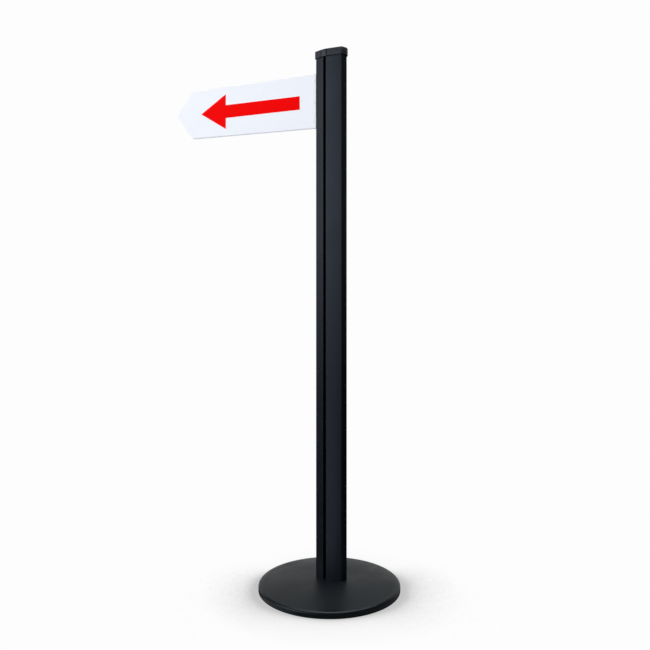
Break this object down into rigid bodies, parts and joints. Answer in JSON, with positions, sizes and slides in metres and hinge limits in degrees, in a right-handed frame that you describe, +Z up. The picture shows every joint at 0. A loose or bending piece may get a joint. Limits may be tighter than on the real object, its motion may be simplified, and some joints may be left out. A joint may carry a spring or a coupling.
{
  "type": "directional sign post",
  "caption": "Free-standing post on a round weighted base, with channels down its sides and an arrow-shaped sign that slides in one of them.",
  "frame": {"origin": "on the floor, in the middle of the round base", "axes": "+Z up along the post; the sign points along -X from the post's nose; the post's wide front face looks along -Y"},
  "size_m": [0.616, 0.352, 1.3386],
  "materials": {
    "post_black": "black satin powder coat",
    "cap_black": "moulded black, fine satin grain",
    "board_white": "rigid foamed board, satin",
    "film_white": "printed film, semi-gloss",
    "arrow_red": "red film, semi-gloss",
    "rail_white": "white satin powder coat",
    "rivet_white": "white painted rivet heads",
    "grub_black": "black oxide",
    "plate_zinc": "zinc plated",
    "screw_zinc": "zinc plated",
    "weight_iron": "cast, dipped black",
    "cover_black": "black fine-texture powder coat",
    "rubber_black": "moulded rubber, matt"
  },
  "bodies": {
    "post": {"post_profile": "post_black", "foot_plate": "plate_zinc", "foot_plate_screws": "screw_zinc", "locating_pins": "screw_zinc", "base_bolt": "screw_zinc", "spring_washer": "screw_zinc", "flat_washer": "screw_zinc", "bolt_bung": "rubber_black", "base_weight": "weight_iron", "base_cover": "cover_black", "cover_nuts": "screw_zinc", "cover_screws": "screw_zinc", "floor_ring": "rubber_black"},
    "cap": {"top_cap": "cap_black"},
    "sign": {"sign_panel": "board_white", "front_graphic": "film_white", "back_graphic": "film_white", "front_arrow": "arrow_red", "back_arrow": "arrow_red", "sign_carrier": "rail_white", "carrier_rivets": "rivet_white", "clamp_screws": "grub_black"}
  },
  "joints": [
    {"name": "sign_height", "type": "slide", "parent": "post", "child": "sign", "axis": [0, 0, 1], "range_m": [-1.1, 0.036]},
    {"name": "cap_lift", "type": "slide", "parent": "post", "child": "cap", "axis": [0, 0, 1], "range_m": [0, 0.04]}
  ]
}
